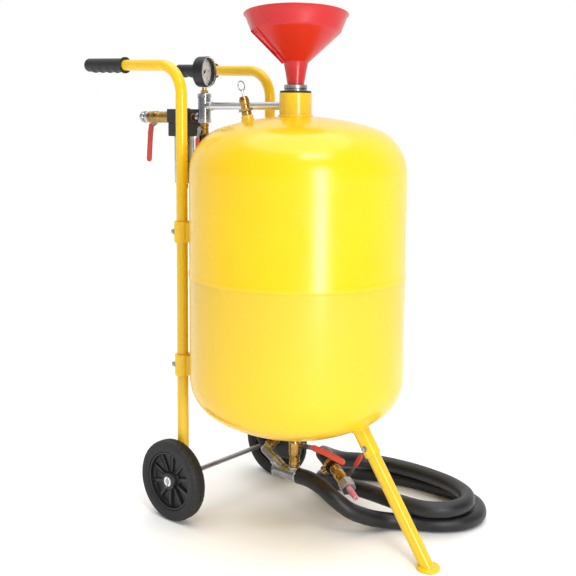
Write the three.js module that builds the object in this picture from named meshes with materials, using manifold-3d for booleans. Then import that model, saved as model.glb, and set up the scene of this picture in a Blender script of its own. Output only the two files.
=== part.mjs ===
// Portable pressure abrasive blaster: a steel pot on two wheels and a foot, with a filler funnel, an air
// manifold with gauge and filter, a metering valve under the pot and a coiled blast hose with its nozzle.
// Millimetres, +Z up, floor at z = 0. The leg is at -Y and the push handles are at +Y.
// Everything is placed about the pot's axis; the whole group is then shifted along Y onto its own centre.

import * as THREE from "three";
import { mergeVertices } from "three/addons/utils/BufferGeometryUtils.js";
import Module from "manifold-3d";

const wasm = await Module();
wasm.setup();

// ---------------------------------------------------------------- driving dimensions
const GAP = 0.3; // between pieces that touch
const FIT = 0.1; // radial clearance of a running shaft
const TANK_Y = -70.2; // pot axis in the finished frame

const TANK_R = 207;
const WALL = 3;
const LOWER_TANGENT_Z = 299;
const UPPER_TANGENT_Z = 688;
const SEAM_Z = 497;
const TOP_KNUCKLE = 92;
const TOP_CROWN = 493;
const BOTTOM_KNUCKLE = 85;
const BOTTOM_CROWN = 322;

const NECK_Y = 8;
const NECK_TOP_Z = 840;
const PIPE_Z = 816;
const TEE_Y = 255;
const FILTER_Y = 316;
const INLET_Z = 793;

const UPRIGHT_X = 127;
const UPRIGHT_Y = 187;
const TUBE_R = 11;
const BEND_R = 58;
const BEND_Z = 835;
const HANDLE_RISE = THREE.MathUtils.degToRad(1.8);
const GRIP_START_Y = 351;
const GRIP_LENGTH = 119;

const AXLE_Z = 80;
const AXLE_R = 5;
const WHEEL_R = 80;
const WHEEL_X = 155;
const WHEEL_WIDTH = 30;

const FOOT_Y = -309;
const LEG_FOOT = new THREE.Vector3(0, -302.4, 9.3);
const LEG_AXIS = new THREE.Vector3(0, 0.5679, 0.8231).normalize();
const LEG_R = 12.5;

const TEE_Z = 92.6;
const METERING_Y = 4;
const METERING_BALL_Z = 147;

const HOSE_R = 15.5;
const HOSE_BORE = 11.4; // corner radius of its five-sided bore
const BYPASS_HOSE_R = 10.5;

const X = new THREE.Vector3(1, 0, 0);
const Y = new THREE.Vector3(0, 1, 0);
const Z = new THREE.Vector3(0, 0, 1);
const vec = (x, y, z) => new THREE.Vector3(x, y, z);

// Blast hose, from the mixing tee through two stacked turns on the floor up to the nozzle valve.
const BLAST_ROUTE = [
  [0, -8.3, 92.6], [0, -34, 92.6], [0, -66, 85], [0, -96, 71], [13, -119, 52], [43, -139, 33],
  [82, -160, 18.5], [114, -198, 15.7], [145, -246, 15.7], [183, -275, 15.7], [228, -279, 15.7],
  [267, -255, 15.7], [290, -208, 15.7], [294, -140, 15.7], [284, -61, 15.7], [266, 0, 15.7],
  [234, 48, 16], [192, 65, 20], [153, 53, 29], [124, 18, 41], [109, -40, 50], [106, -107, 52],
  [110, -176, 49], [122, -232, 48], [152, -263, 48], [190, -272, 48], [226, -255, 48], [255, -213, 47],
  [271, -145, 46.5], [272, -75, 46.5], [259, -18, 48], [232, 15, 53.5], [194, 31, 63], [164, 36, 76],
  [134, 31, 91], [107, 16, 103], [80.52, -13.86, 108.7], [65.8, -43.3, 100.2],
];
const NOZZLE_AXIS = vec(-0.433, -0.866, -0.25).normalize();
const NOZZLE_FOOT = vec(65.8, -43.3, 100.2);

// By-pass hose, from the valve above the mixing tee, round a loop and up behind the pot to the air tee.
const BYPASS_ROUTE = [
  [37.4, 81, 141.3], [50, 80.5, 146.4], [64, 73, 147], [71, 56, 133], [67, 46, 109], [55, 56, 90],
  [44, 84, 89], [38, 110, 111], [33, 129, 143], [22, 160, 186], [7, 208, 236], [0, 238, 320],
  [0, 238, 690], [0, 246, 722], [0, 255, 744], [0, 255, 756.5],
];

// ---------------------------------------------------------------- finishes
const paint = (name, colour, roughness, metalness) => ({ name, colour, roughness, metalness });
const YELLOW = paint("yellow_paint", 0xf2c21a, 0.35, 0);
const RED = paint("red_plastic", 0xd8402c, 0.45, 0);
const BLACK = paint("black_plastic", 0x26272a, 0.6, 0);
const RUBBER = paint("black_rubber", 0x1b1c1f, 0.8, 0);
const BRASS = paint("brass", 0xb58a3c, 0.35, 1);
const ZINC = paint("zinc_plate", 0xb9bcc0, 0.35, 1);
const CHROME = paint("chrome", 0xd6d8da, 0.12, 1);
const WHITE = paint("white_card", 0xf4f4f2, 0.7, 0);
const CLEAR = paint("clear_plastic", 0xdfe6e8, 0.1, 0);
const PINK = paint("pink_ceramic", 0xd9a3ac, 0.5, 0);

// ---------------------------------------------------------------- solids
// Welds a geometry into one indexed shell that faces outwards.
function welded(geometry) {
  const loose = geometry.index ? geometry.toNonIndexed() : geometry;
  const bare = new THREE.BufferGeometry();
  bare.setAttribute("position", loose.getAttribute("position").clone());
  const shell = mergeVertices(bare, 1e-3);
  const at = (i) => new THREE.Vector3().fromBufferAttribute(shell.attributes.position, i);
  const faces = [];
  let volume = 0;
  for (let i = 0; i < shell.index.count; i += 3) {
    const [a, b, c] = [0, 1, 2].map((k) => shell.index.getX(i + k));
    if (a === b || b === c || c === a) continue;
    faces.push([a, b, c]);
    volume += at(a).dot(at(b).cross(at(c)));
  }
  const outward = volume < 0 ? faces.map(([a, b, c]) => [a, c, b]) : faces;
  return { vertices: shell.attributes.position.array, triangles: new Uint32Array(outward.flat()) };
}

function solid(geometry, place = new THREE.Matrix4()) {
  const { vertices, triangles } = welded(geometry.applyMatrix4(place));
  return new wasm.Manifold(new wasm.Mesh({ numProp: 3, vertProperties: vertices, triVerts: triangles }));
}

const join = (...solids) => solids.reduce((sum, next) => sum.add(next));
const cut = (body, ...tools) => tools.reduce((rest, tool) => rest.subtract(tool), body);

// A frame at a point with its Z along an axis; X leans as near as it can to the given side.
function frame(origin, axis = Z, side = undefined) {
  const z = axis.clone().normalize();
  const hint = side ?? (Math.abs(z.x) > 0.9 ? Y : X);
  const y = new THREE.Vector3().crossVectors(z, hint).normalize();
  const x = new THREE.Vector3().crossVectors(y, z);
  return new THREE.Matrix4().makeBasis(x, y, z).setPosition(origin);
}

// Revolves [radius, height] points about Z.
function turned(profile, segments = 12, place = undefined) {
  const points = profile.map(([r, h]) => new THREE.Vector2(r, h));
  return solid(new THREE.LatheGeometry(points, segments).rotateX(Math.PI / 2), place);
}

const rod = (r, from, to, place, segments = 12) =>
  turned([[0, from], [r, from], [r, to], [0, to]], segments, place);

const pipe = (outer, inner, from, to, place, segments = 12) =>
  turned([[inner, from], [outer, from], [outer, to], [inner, to], [inner, from]], segments, place);

function ball(radius, place, segments = 12) {
  const profile = [];
  for (let i = 0; i <= 4; i++) {
    const a = (Math.PI * i) / 4;
    profile.push([i % 4 ? radius * Math.sin(a) : 0, -radius * Math.cos(a)]);
  }
  return turned(profile, segments, place);
}

function box([x0, x1], [y0, y1], [z0, z1], place = undefined) {
  const block = new THREE.BoxGeometry(x1 - x0, y1 - y0, z1 - z0);
  block.translate((x0 + x1) / 2, (y0 + y1) / 2, (z0 + z1) / 2);
  return solid(block, place);
}

// A path through listed points, one ring of the sweep at each, its planes halving every bend.
class Route extends THREE.Curve {
  constructor(points) {
    super();
    this.points = points;
  }
  getUtoTmapping(u) {
    return u;
  }
  getPoint(t) {
    return this.points[Math.round(t * (this.points.length - 1))].clone();
  }
  getTangent(t) {
    const i = Math.round(t * (this.points.length - 1));
    const before = this.points[Math.max(i - 1, 0)];
    const here = this.points[i];
    const after = this.points[Math.min(i + 1, this.points.length - 1)];
    const arriving = here.clone().sub(before).normalize();
    const leaving = after.clone().sub(here).normalize();
    return arriving.add(leaving).normalize();
  }
}

function polygon(radius, sides, Kind) {
  const corners = [];
  for (let i = 0; i < sides; i++) {
    const a = (2 * Math.PI * i) / sides;
    corners.push(new THREE.Vector2(radius * Math.cos(a), radius * Math.sin(a)));
  }
  return new Kind(corners);
}

function sweep(points, radius, bore, sides, boreSides = sides) {
  const section = polygon(radius, sides, THREE.Shape);
  section.holes.push(polygon(bore, boreSides, THREE.Path));
  const extrudePath = new Route(points.map((p) => (Array.isArray(p) ? vec(...p) : p)));
  const steps = points.length - 1;
  return solid(new THREE.ExtrudeGeometry(section, { steps, extrudePath, bevelEnabled: false }));
}

// A flat bar along [x, y] points, from height z0 to z1, rounded at each point.
function strap(points, width, z0, z1, place) {
  const pieces = points.map(([x, y]) =>
    rod(width / 2, z0, z1, place.clone().multiply(frame(vec(x, y, 0))), 12));
  for (let i = 1; i < points.length; i++) {
    const [ax, ay] = points[i - 1];
    const [bx, by] = points[i];
    const along = vec(bx - ax, by - ay, 0);
    const run = frame(vec(ax, ay, 0), Z, along.clone().normalize());
    pieces.push(box([0, along.length()], [-width / 2, width / 2], [z0, z1], place.clone().multiply(run)));
  }
  return join(...pieces);
}

// ---------------------------------------------------------------- the part
const part = new THREE.Group();
part.name = "abrasive_blaster";
part.position.y = TANK_Y;

function add(name, body, finish) {
  const { vertProperties, triVerts } = body.getMesh();
  const geometry = new THREE.BufferGeometry();
  geometry.setAttribute("position", new THREE.BufferAttribute(vertProperties, 3));
  geometry.setIndex(new THREE.BufferAttribute(triVerts, 1));
  const flat = geometry.toNonIndexed();
  flat.computeVertexNormals();
  const material = new THREE.MeshStandardMaterial({
    name: finish.name,
    color: finish.colour,
    roughness: finish.roughness,
    metalness: finish.metalness,
  });
  const mesh = new THREE.Mesh(flat, material);
  mesh.name = name;
  part.add(mesh);
}

// ---------------------------------------------------------------- pot
// [radius, rise] of a dished head, from its pole to its tangent line.
function headArc(radius, knuckle, crown) {
  const inset = radius - knuckle;
  const drop = Math.sqrt((crown - knuckle) ** 2 - inset ** 2);
  const meet = Math.asin(inset / (crown - knuckle));
  const points = [];
  for (let i = 0; i <= 2; i++) {
    const a = (meet * i) / 2;
    points.push([i ? crown * Math.sin(a) : 0, crown * Math.cos(a) - drop]);
  }
  for (let i = 1; i <= 3; i++) {
    const a = meet + ((Math.PI / 2 - meet) * i) / 3;
    points.push([inset + knuckle * Math.sin(a), knuckle * Math.cos(a)]);
  }
  return points;
}

const upperArc = (grow) =>
  headArc(TANK_R + grow, TOP_KNUCKLE + grow, TOP_CROWN + grow).map(([r, h]) => [r, UPPER_TANGENT_Z + h]);
const lowerArc = (grow) =>
  headArc(TANK_R + grow, BOTTOM_KNUCKLE + grow, BOTTOM_CROWN + grow).map(([r, h]) => [r, LOWER_TANGENT_Z - h]);

const TANK_SIDES = 28;
const envelope = (grow) => turned([...upperArc(grow), ...lowerArc(grow).reverse()], TANK_SIDES);

const crownDrop = Math.sqrt((TOP_CROWN - TOP_KNUCKLE) ** 2 - (TANK_R - TOP_KNUCKLE) ** 2);
const crownCentre = vec(0, 0, UPPER_TANGENT_Z - crownDrop);
const safetyAzimuth = THREE.MathUtils.degToRad(132);
const safetyTilt = THREE.MathUtils.degToRad(11.2);
const safetyAxis = vec(
  Math.sin(safetyTilt) * Math.cos(safetyAzimuth),
  Math.sin(safetyTilt) * Math.sin(safetyAzimuth),
  Math.cos(safetyTilt),
);
// Heights in this frame count from the dome's outer surface.
const safetyFrame = frame(crownCentre.clone().addScaledVector(safetyAxis, TOP_CROWN), safetyAxis);
const neckFrame = frame(vec(0, NECK_Y, 0));

function pot() {
  const upper = turned(
    [
      ...upperArc(0),
      [TANK_R, SEAM_Z + 6],
      [TANK_R + 1.6, SEAM_Z + 2],
      [TANK_R + 1.6, SEAM_Z - 4],
      [TANK_R + GAP, SEAM_Z - 4],
      [TANK_R + GAP, SEAM_Z + GAP],
      [TANK_R - WALL, SEAM_Z + GAP],
      ...upperArc(-WALL).reverse(),
    ],
    TANK_SIDES,
  );
  const boss = rod(11.5, -2, 10, safetyFrame);
  const mouth = rod(27, 740, 830, neckFrame, 20);
  add("tank_upper_shell", cut(join(upper, boss), mouth, rod(4, -20, 20, safetyFrame, 16)), YELLOW);

  const lower = turned(
    [...lowerArc(0), [TANK_R, SEAM_Z], [TANK_R - WALL, SEAM_Z], ...lowerArc(-WALL).reverse()],
    TANK_SIDES,
  );
  add("tank_lower_shell", cut(lower, rod(8, 170, 200, frame(vec(0, METERING_Y, 0)))), YELLOW);
}

function filler() {
  const wall = pipe(30.8, 27, 797.2, NECK_TOP_Z, neckFrame, 20);
  const pipeHole = rod(8.1, 20, 40, frame(vec(0, 0, PIPE_Z), Y), 16);
  const guide = cut(
    box([-28, 28], [NECK_Y - 8, NECK_Y + 8], [800, 804]),
    rod(5 + GAP, 790, 810, neckFrame),
  );
  add("filler_neck", join(cut(wall, pipeHole), guide), YELLOW);
  add("neck_gasket", turned(
    [[18, 840.3], [30, 840.3], [30, 843], [29, 844], [18, 844], [18, 840.3]], 24, neckFrame), RUBBER);
  add("filler_collar", pipe(21.9, 18, 844.3, 855.5, neckFrame, 20), ZINC);
  add("popup_plunger", turned(
    [[0, 770], [8, 770], [8, 773], [5, 773], [5, 804.3], [8, 804.3], [8, 812], [21, 812], [21, 814], [4, 819], [0, 819]],
    20, neckFrame), RUBBER);
}

// The loose funnel leans in the collar, towards +X and +Y.
const funnelLean = THREE.MathUtils.degToRad(6);
const funnelAzimuth = THREE.MathUtils.degToRad(40);
const funnelAxis = vec(
  Math.sin(funnelLean) * Math.cos(funnelAzimuth),
  Math.sin(funnelLean) * Math.sin(funnelAzimuth),
  Math.cos(funnelLean),
);
const funnelFrame = frame(vec(0, NECK_Y, 850), funnelAxis);

function funnel() {
  const outside = [[14.7, -7], [15.8, 6], [24, 48], [85.7, 105.7], [97.3, 136.4], [100, 136.4], [100, 138.4]];
  const inside = [[95.2, 138.4], [83.9, 107.3], [22, 48.8], [13.6, 6], [12.5, -7]];
  add("funnel", turned([...outside, ...inside, outside[0]], 24, funnelFrame), RED);
}

function safetyValve() {
  const shape = turned(
    [[0, 10.3], [9.5, 10.3], [9.5, 18], [8.4, 19], [8.4, 30], [9.5, 31], [9.5, 41], [7, 46], [0, 46]], 14, safetyFrame);
  const nut = rod(13.9, 18, 23, safetyFrame, 6);
  add("safety_valve_body", cut(join(shape, nut), rod(2.2, 0, 60, safetyFrame, 12)), BRASS);

  const eye = safetyFrame.clone().multiply(frame(vec(0, 0, 57), X));
  add("safety_valve_stem", cut(rod(2, 14, 60, safetyFrame, 12), rod(1.5, -5, 5, eye, 8)), ZINC);

  const ring = solid(new THREE.TorusGeometry(9, 1.1, 6, 18),
    safetyFrame.clone().multiply(frame(vec(0, 0, 66), Y)));
  add("safety_pull_ring", ring, ZINC);
}

// ---------------------------------------------------------------- air manifold
function manifold() {
  const alongY = (z) => frame(vec(0, 0, z), Y);
  const teeFrame = frame(vec(0, TEE_Y, 0));
  add("cross_pipe", pipe(7.75, 5, 35.5, 232.7, alongY(PIPE_Z), 16), ZINC);

  const tee = join(
    rod(14.5, 781, 842, teeFrame, 16),
    rod(10, 233, TEE_Y, alongY(PIPE_Z)),
    rod(10, TEE_Y, 273, alongY(INLET_Z)),
  );
  const passages = [
    rod(5, 770, 838, teeFrame, 12),
    rod(5, 220, TEE_Y, alongY(PIPE_Z), 12),
    rod(5, TEE_Y, 280, alongY(INLET_Z), 12),
  ];
  add("air_tee", cut(tee, ...passages), CHROME);
  add("gauge_stem", join(rod(8.5, 842.3, 848, teeFrame, 6), rod(5, 847, 854.1, teeFrame, 16)), BRASS);
  add("filter_nipple", pipe(8, 5, 273.3, 289.7, alongY(INLET_Z), 12), BRASS);
}

const dialNormal = vec(Math.sin(0.2793), -Math.cos(0.2793), 0);
const gaugeFrame = frame(vec(0, TEE_Y, 886), dialNormal, Z);

function gauge() {
  const shaft = rod(1 + FIT, -8, 0, gaugeFrame, 20);
  add("gauge_case", cut(pipe(31.5, 28.5, -12, 12, gaugeFrame, 20).add(rod(29, -12, -2, gaugeFrame, 20)), shaft), BLACK);
  add("gauge_dial", cut(rod(28.1, -1.7, -0.9, gaugeFrame, 20), rod(2, -3, 0, gaugeFrame, 16)), WHITE);
  const arm = gaugeFrame.clone().multiply(new THREE.Matrix4().makeRotationZ(THREE.MathUtils.degToRad(135)));
  const pointer = join(rod(1, -7, 1, gaugeFrame, 20), rod(3, -0.6, 1, gaugeFrame, 20), box([-7, 21], [-0.7, 0.7], [0, 0.8], arm));
  add("gauge_needle", pointer, BLACK);
  add("gauge_lens", rod(28.2, 7, 9, gaugeFrame, 20), CLEAR);
}

function filterUnit() {
  const bowlFrame = frame(vec(0, FILTER_Y, 0));
  const head = join(
    box([-26, 26], [290, 342], [781, 810]),
    box([-24, 24], [292, 340], [753, 781.5]),
  );
  const bore = rod(6, 280, 350, frame(vec(0, 0, INLET_Z), Y), 12);
  add("filter_head", cut(head, bore, rod(21.3, 740, 760, bowlFrame, 20), rod(5, 755, INLET_Z, bowlFrame, 12)), BLACK);

  const window = (turn) => box([17, 24], [-4, 4], [707, 747],
    bowlFrame.clone().multiply(new THREE.Matrix4().makeRotationZ(turn)));
  const windows = [0, 1, 2, 3, 4, 5].map((i) => window((Math.PI * i) / 3));
  add("bowl_guard", cut(pipe(21, 19.7, 655, 759.7, bowlFrame, 20), ...windows), ZINC);

  const bowl = turned(
    [[4 + FIT, 652], [17, 652], [19.4, 655], [19.4, 759.7], [17.2, 759.7], [17.2, 656], [4 + FIT, 655], [4 + FIT, 652]],
    20, bowlFrame);
  add("filter_bowl", bowl, CLEAR);
  add("filter_element", pipe(12, 8, 700, 759.7, bowlFrame, 12), WHITE);
  add("drain_screw", turned([[0, 640], [4, 640], [4, 643], [7.5, 643], [7.5, 651.7], [4, 651.7], [4, 660], [0, 660]],
    20, bowlFrame), BLACK);
}

// ---------------------------------------------------------------- ball valves
// A valve's own frame: Z out along the stem, Y along the lever at rest, X square to both.
const valveFrame = (centre, stem, lever) => frame(centre, stem, new THREE.Vector3().crossVectors(lever, stem));

// Bores a body for its ball and stem, after giving it a boss that carries the stem.
function bonneted(body, place, size, bore) {
  const boss = rod(size.stem + 2.6, 0, size.boss, place, 8);
  return cut(join(body, boss), bore, ball(size.ball + GAP, place), rod(size.stem + FIT, 0, size.boss + 5, place));
}

// The ball, its stem up through the lever, and its own bore along the lever.
function stemmedBall(place, size) {
  const bore = rod(size.bore, -20, 20, place.clone().multiply(frame(vec(0, 0, 0), Y)), 12);
  return cut(ball(size.ball, place), bore).add(rod(size.stem, size.ball - 1.5, size.top, place));
}

// A flat steel lever with a thick plastic sleeve on its outer points.
function lever(place, size, root, sleeve) {
  const z0 = size.boss + GAP;
  const plate = strap([...root, sleeve[0]], size.width - 2, z0, z0 + 2.6, place);
  const grip = strap(sleeve, size.width, z0 - 1.2, z0 + 4.2, place);
  return join(cut(plate, rod(size.stem + GAP, -5, size.top + 5, place, 12)), grip);
}

const INLET = { ball: 8, bore: 5, stem: 2.8, boss: 15, top: 20, width: 13.8 };
const inletFrame = valveFrame(vec(0, 406, INLET_Z), X, vec(0, 0, -1));

function inletValve() {
  const along = frame(vec(0, 0, INLET_Z), Y);
  const shape = turned(
    [
      [0, 342.3], [8, 342.3], [8, 353], [12.5, 353], [12.5, 372], [11, 373], [11, 388], [12.5, 389], [12.5, 424],
      [0, 424],
    ], 14, along);
  add("inlet_valve_body", bonneted(shape, inletFrame, INLET, rod(INLET.bore, 330, 430, along, 12)), BRASS);
  add("inlet_valve_ball", stemmedBall(inletFrame, INLET), CHROME);
  add("inlet_valve_lever", lever(inletFrame, INLET, [[0, 0]], [[-34, 20], [-37, 34], [-42, 92]]), RED);
  add("inlet_coupling", turned(
    [[7.5, 424.3], [12.5, 424.3], [12.5, 445], [9.5, 447], [7.5, 447], [7.5, 424.3]],
    16, along), CHROME);
}

const AIR = { ball: 5.8, bore: 3, stem: 2, boss: 12, top: 16.4, width: 11 };
const airFrame = valveFrame(vec(0, TEE_Y, 769), X.clone().negate(), vec(0, 0, -1));

function tankAirValve() {
  const upright = frame(vec(0, TEE_Y, 0));
  const shape = turned([[0, 757], [8.2, 757], [9.4, 760], [9.4, 778], [8.2, 780.7], [0, 780.7]], 14, upright);
  add("tank_air_valve_body", bonneted(shape, airFrame, AIR, rod(AIR.bore, 750, 790, upright, 12)), BRASS);
  const handle = lever(airFrame, { ...AIR, stem: 1.9 - GAP }, [[0, 0]], [[6, 22], [6, 62]]);
  add("tank_air_valve_lever", join(stemmedBall(airFrame, AIR), handle), RED);
}

const METERING = { ball: 7.6, bore: 5, stem: 2.8, boss: 17.2, top: 22.2, width: 12.5 };
const meteringFrame = valveFrame(vec(0, METERING_Y, METERING_BALL_Z), X, vec(0, -1, 0));

function meteringValve() {
  const upright = frame(vec(0, METERING_Y, 0));
  const shape = turned(
    [
      [0, 110], [9, 110], [9, 113], [11, 114], [11, 129], [9.6, 130], [9.6, 134], [11.6, 135], [11.6, 159],
      [9.6, 160], [9.6, 164], [11, 165], [11, 172], [9, 173], [9, 179.8], [0, 179.8],
    ], 14, upright);
  add("metering_valve_body", bonneted(shape, meteringFrame, METERING, rod(METERING.bore, 100, 190, upright, 12)), BRASS);
  add("metering_valve_ball", stemmedBall(meteringFrame, METERING), CHROME);
  add("metering_valve_lever", lever(meteringFrame, METERING, [[0, 0]], [[2, 34], [0, 62], [-8, 104]]), RED);
}

// ---------------------------------------------------------------- mixing tee and by-pass
const branchAxis = vec(0, 0.862, 0.508).normalize();
const branchFoot = vec(0, 40, 101.3);
const bypassCorner = vec(0, 81, 125.5);
const bypassAxis = vec(0.92, 0, 0.392).normalize();
const BYPASS = { ball: 7, bore: 4.5, stem: 2.6, boss: 14, top: 18.6, width: 11 };
const bypassStem = new THREE.Vector3().crossVectors(bypassAxis, Y);
const bypassFrame = valveFrame(bypassCorner.clone().addScaledVector(bypassAxis, 23), bypassStem, Y);

function mixingTee() {
  const along = frame(vec(0, 0, TEE_Z), Y);
  const upright = frame(vec(0, METERING_Y, 0));
  const branch = frame(branchFoot, branchAxis);
  const barrel = turned([[0, -8], [15, -8], [15, -3], [14, -2], [14, 54], [0, 54]], 20, along);
  const body = join(
    barrel,
    rod(8.8, -26, -7, along, 12),
    rod(12, TEE_Z, 109.7, upright),
    rod(11, -4, 14, branch),
  );
  const passages = [rod(5.5, -30, 46, along, 12), rod(5, TEE_Z, 115, upright, 12), rod(4.5, -10, 20, branch, 12)];
  add("mixing_tee", cut(body, ...passages), ZINC);

  const run = frame(bypassCorner, branchAxis);
  const turn = frame(bypassCorner, bypassAxis);
  const start = branchFoot.clone().addScaledVector(branchAxis, 14 + 2 * GAP).sub(bypassCorner).dot(branchAxis);
  const elbow = join(rod(10.5, start, start + 5, run), rod(9, start, 0, run), ball(9, run), rod(9, 0, 11, turn));
  add("bypass_fitting", cut(elbow, rod(4.5, start - 5, 0, run, 12), ball(4.5, run), rod(4.5, 0, 20, turn, 12)), ZINC);

  const shape = turned([[0, 11.3], [10, 11.3], [11, 12.3], [11, 34], [9.5, 35], [9.5, 40], [0, 40]], 14, turn);
  add("bypass_valve_body", bonneted(shape, bypassFrame, BYPASS, rod(BYPASS.bore, 5, 50, turn, 12)), BRASS);
  add("bypass_valve_ball", stemmedBall(bypassFrame, BYPASS), CHROME);
  add("bypass_valve_lever", lever(bypassFrame, BYPASS, [[0, 0]], [[0, 14], [0, 48]]), RED);
  add("bypass_hose", sweep(BYPASS_ROUTE, BYPASS_HOSE_R, 6, 7, 5), RUBBER);
}

// ---------------------------------------------------------------- blast hose and nozzle
const NOZZLE = { ball: 7.4, bore: 5, stem: 2.6, boss: 16.8, top: 21.6, width: 10.5 };
const nozzleLever = vec(0.3, -0.4, 0.866);
nozzleLever.addScaledVector(NOZZLE_AXIS, -nozzleLever.dot(NOZZLE_AXIS)).normalize();
const nozzleStem = new THREE.Vector3().crossVectors(nozzleLever, NOZZLE_AXIS);
const nozzleFrame = valveFrame(NOZZLE_FOOT.clone().addScaledVector(NOZZLE_AXIS, 31), nozzleStem, nozzleLever);

function blastHose() {
  add("blast_hose", sweep(BLAST_ROUTE, HOSE_R, HOSE_BORE, 7, 5), RUBBER);
  const along = frame(NOZZLE_FOOT, NOZZLE_AXIS);
  const shape = turned(
    [
      [0, -16], [8.8, -13], [8.8, 0.4], [11.5, 0.4], [11.5, 16], [10.2, 17], [10.2, 20], [11.5, 21], [11.5, 52],
      [0, 52],
    ], 14, along);
  add("nozzle_valve_body", bonneted(shape, nozzleFrame, NOZZLE, rod(NOZZLE.bore, -20, 60, along, 12)), BRASS);
  add("nozzle_valve_ball", stemmedBall(nozzleFrame, NOZZLE), CHROME);
  add("nozzle_valve_lever", lever(nozzleFrame, NOZZLE, [[0, 0]], [[0, 34], [0, 52]]), RED);
  add("nozzle_nut", cut(rod(16, 52.3, 73, along, 6), rod(6.3, 50, 80, along, 12)), ZINC);
  add("ceramic_nozzle", turned(
    [[3, 54], [6, 54], [6, 90], [5.2, 104], [3, 104], [3, 54]], 12, along), PINK);
}

// ---------------------------------------------------------------- chassis
const sides = [["left", -1], ["right", 1]];
const tubeBore = (TUBE_R + 0.1) / Math.cos(Math.PI / 12); // a twelve-sided bore that clears the tube

function handlePath(x) {
  const points = [vec(x, UPRIGHT_Y, 60), vec(x, UPRIGHT_Y, BEND_Z)];
  const centreY = UPRIGHT_Y + BEND_R;
  const sweepAngle = Math.PI / 2 - HANDLE_RISE;
  for (let i = 1; i <= 4; i++) {
    const a = (sweepAngle * i) / 4;
    points.push(vec(x, centreY - BEND_R * Math.cos(a), BEND_Z + BEND_R * Math.sin(a)));
  }
  const last = points[points.length - 1];
  const run = (GRIP_START_Y + GRIP_LENGTH - 3 - last.y) / Math.cos(HANDLE_RISE);
  points.push(last.clone().addScaledVector(vec(0, Math.cos(HANDLE_RISE), Math.sin(HANDLE_RISE)), run));
  return points;
}

function clamp(side, z0, z1) {
  const centre = vec(side * UPRIGHT_X, UPRIGHT_Y, 0);
  const outward = centre.clone().normalize();
  const radial = frame(vec(0, 0, 0), Z, outward);
  const reach = centre.length();
  const collar = rod(15.5, z0, z1, frame(centre));
  const block = box([reach - 24, reach], [-13, 13], [z0 + 2, z1 - 2], radial);
  return cut(join(collar, block), rod(tubeBore, z0 - 1, z1 + 1, frame(centre)), envelope(GAP));
}

function chassis() {
  for (const [word, side] of sides) {
    const path = handlePath(side * UPRIGHT_X);
    const axleHole = rod(AXLE_R + GAP, -200, 200, frame(vec(0, UPRIGHT_Y, AXLE_Z), X));
    add(`frame_tube_${word}`, cut(sweep(path, TUBE_R, TUBE_R - 1.8, 10), axleHole), YELLOW);

    const end = path[path.length - 1];
    const along = vec(0, Math.cos(HANDLE_RISE), Math.sin(HANDLE_RISE));
    const grip = frame(end.clone().addScaledVector(along, 3 - GRIP_LENGTH), along);
    add(`grip_${word}`, turned(
      [
        [0, GRIP_LENGTH], [12.5, GRIP_LENGTH], [13.8, GRIP_LENGTH - 1.5], [13.8, 4], [16.5, 3], [16.5, 0],
        [tubeBore, 0], [tubeBore, GRIP_LENGTH - 2.6], [0, GRIP_LENGTH - 2.6],
      ], 12, grip), RUBBER);
    add(`frame_clamp_upper_${word}`, clamp(side, 551, 593), YELLOW);
    add(`frame_clamp_lower_${word}`, clamp(side, 287, 330), YELLOW);
  }
}

function wheels() {
  add("axle", rod(AXLE_R, -171, 171, frame(vec(0, UPRIGHT_Y, AXLE_Z), X), 24), ZINC);
  const half = WHEEL_WIDTH / 2;
  for (const [word, side] of sides) {
    const hub = frame(vec(side * WHEEL_X, UPRIGHT_Y, AXLE_Z), vec(side, 0, 0));
    add(`tyre_${word}`, turned(
      [
        [58.3, -12], [64, -half], [74, -half], [WHEEL_R, -9], [WHEEL_R, 9], [74, half], [64, half], [58.3, 12],
        [58.3, -12],
      ], 24, hub), RUBBER);
    const bore = AXLE_R + FIT;
    add(`wheel_disc_${word}`, turned(
      [
        [bore, -13], [14, -13], [14, -4], [54, -4], [54, -12], [58, -12], [58, 12], [54, 12], [54, 5], [14, 5], [14, 14],
        [bore, 14], [bore, -13],
      ], 24, hub), BLACK);
  }
}

function leg() {
  const along = frame(LEG_FOOT, LEG_AXIS);
  const below = box([-60, 60], [-400, -200], [-60, 6.3]);
  add("leg_tube", cut(pipe(LEG_R, LEG_R - 2, -25, 249, along, 16), below), YELLOW);
  add("leg_socket", cut(pipe(15.5, LEG_R + GAP, 205, 285, along, 16), envelope(GAP)), YELLOW);
  add("foot_pad", turned([[0, 0], [20, 0], [21, 1], [21, 4.5], [19, 6], [0, 6]], 20, frame(vec(0, FOOT_Y, 0))), RUBBER);
}

pot();
filler();
funnel();
safetyValve();
manifold();
gauge();
filterUnit();
inletValve();
tankAirValve();
meteringValve();
mixingTee();
blastHose();
chassis();
wheels();
leg();

export default part;
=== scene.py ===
"""Looks of the portable abrasive blaster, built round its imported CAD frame.

Shapes are written in millimetres about the pot's own axis, floor at z = 0, and placed in the frame by at().
"""

import math
from collections import namedtuple

import bmesh
import bpy
from mathutils import Matrix, Vector


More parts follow.
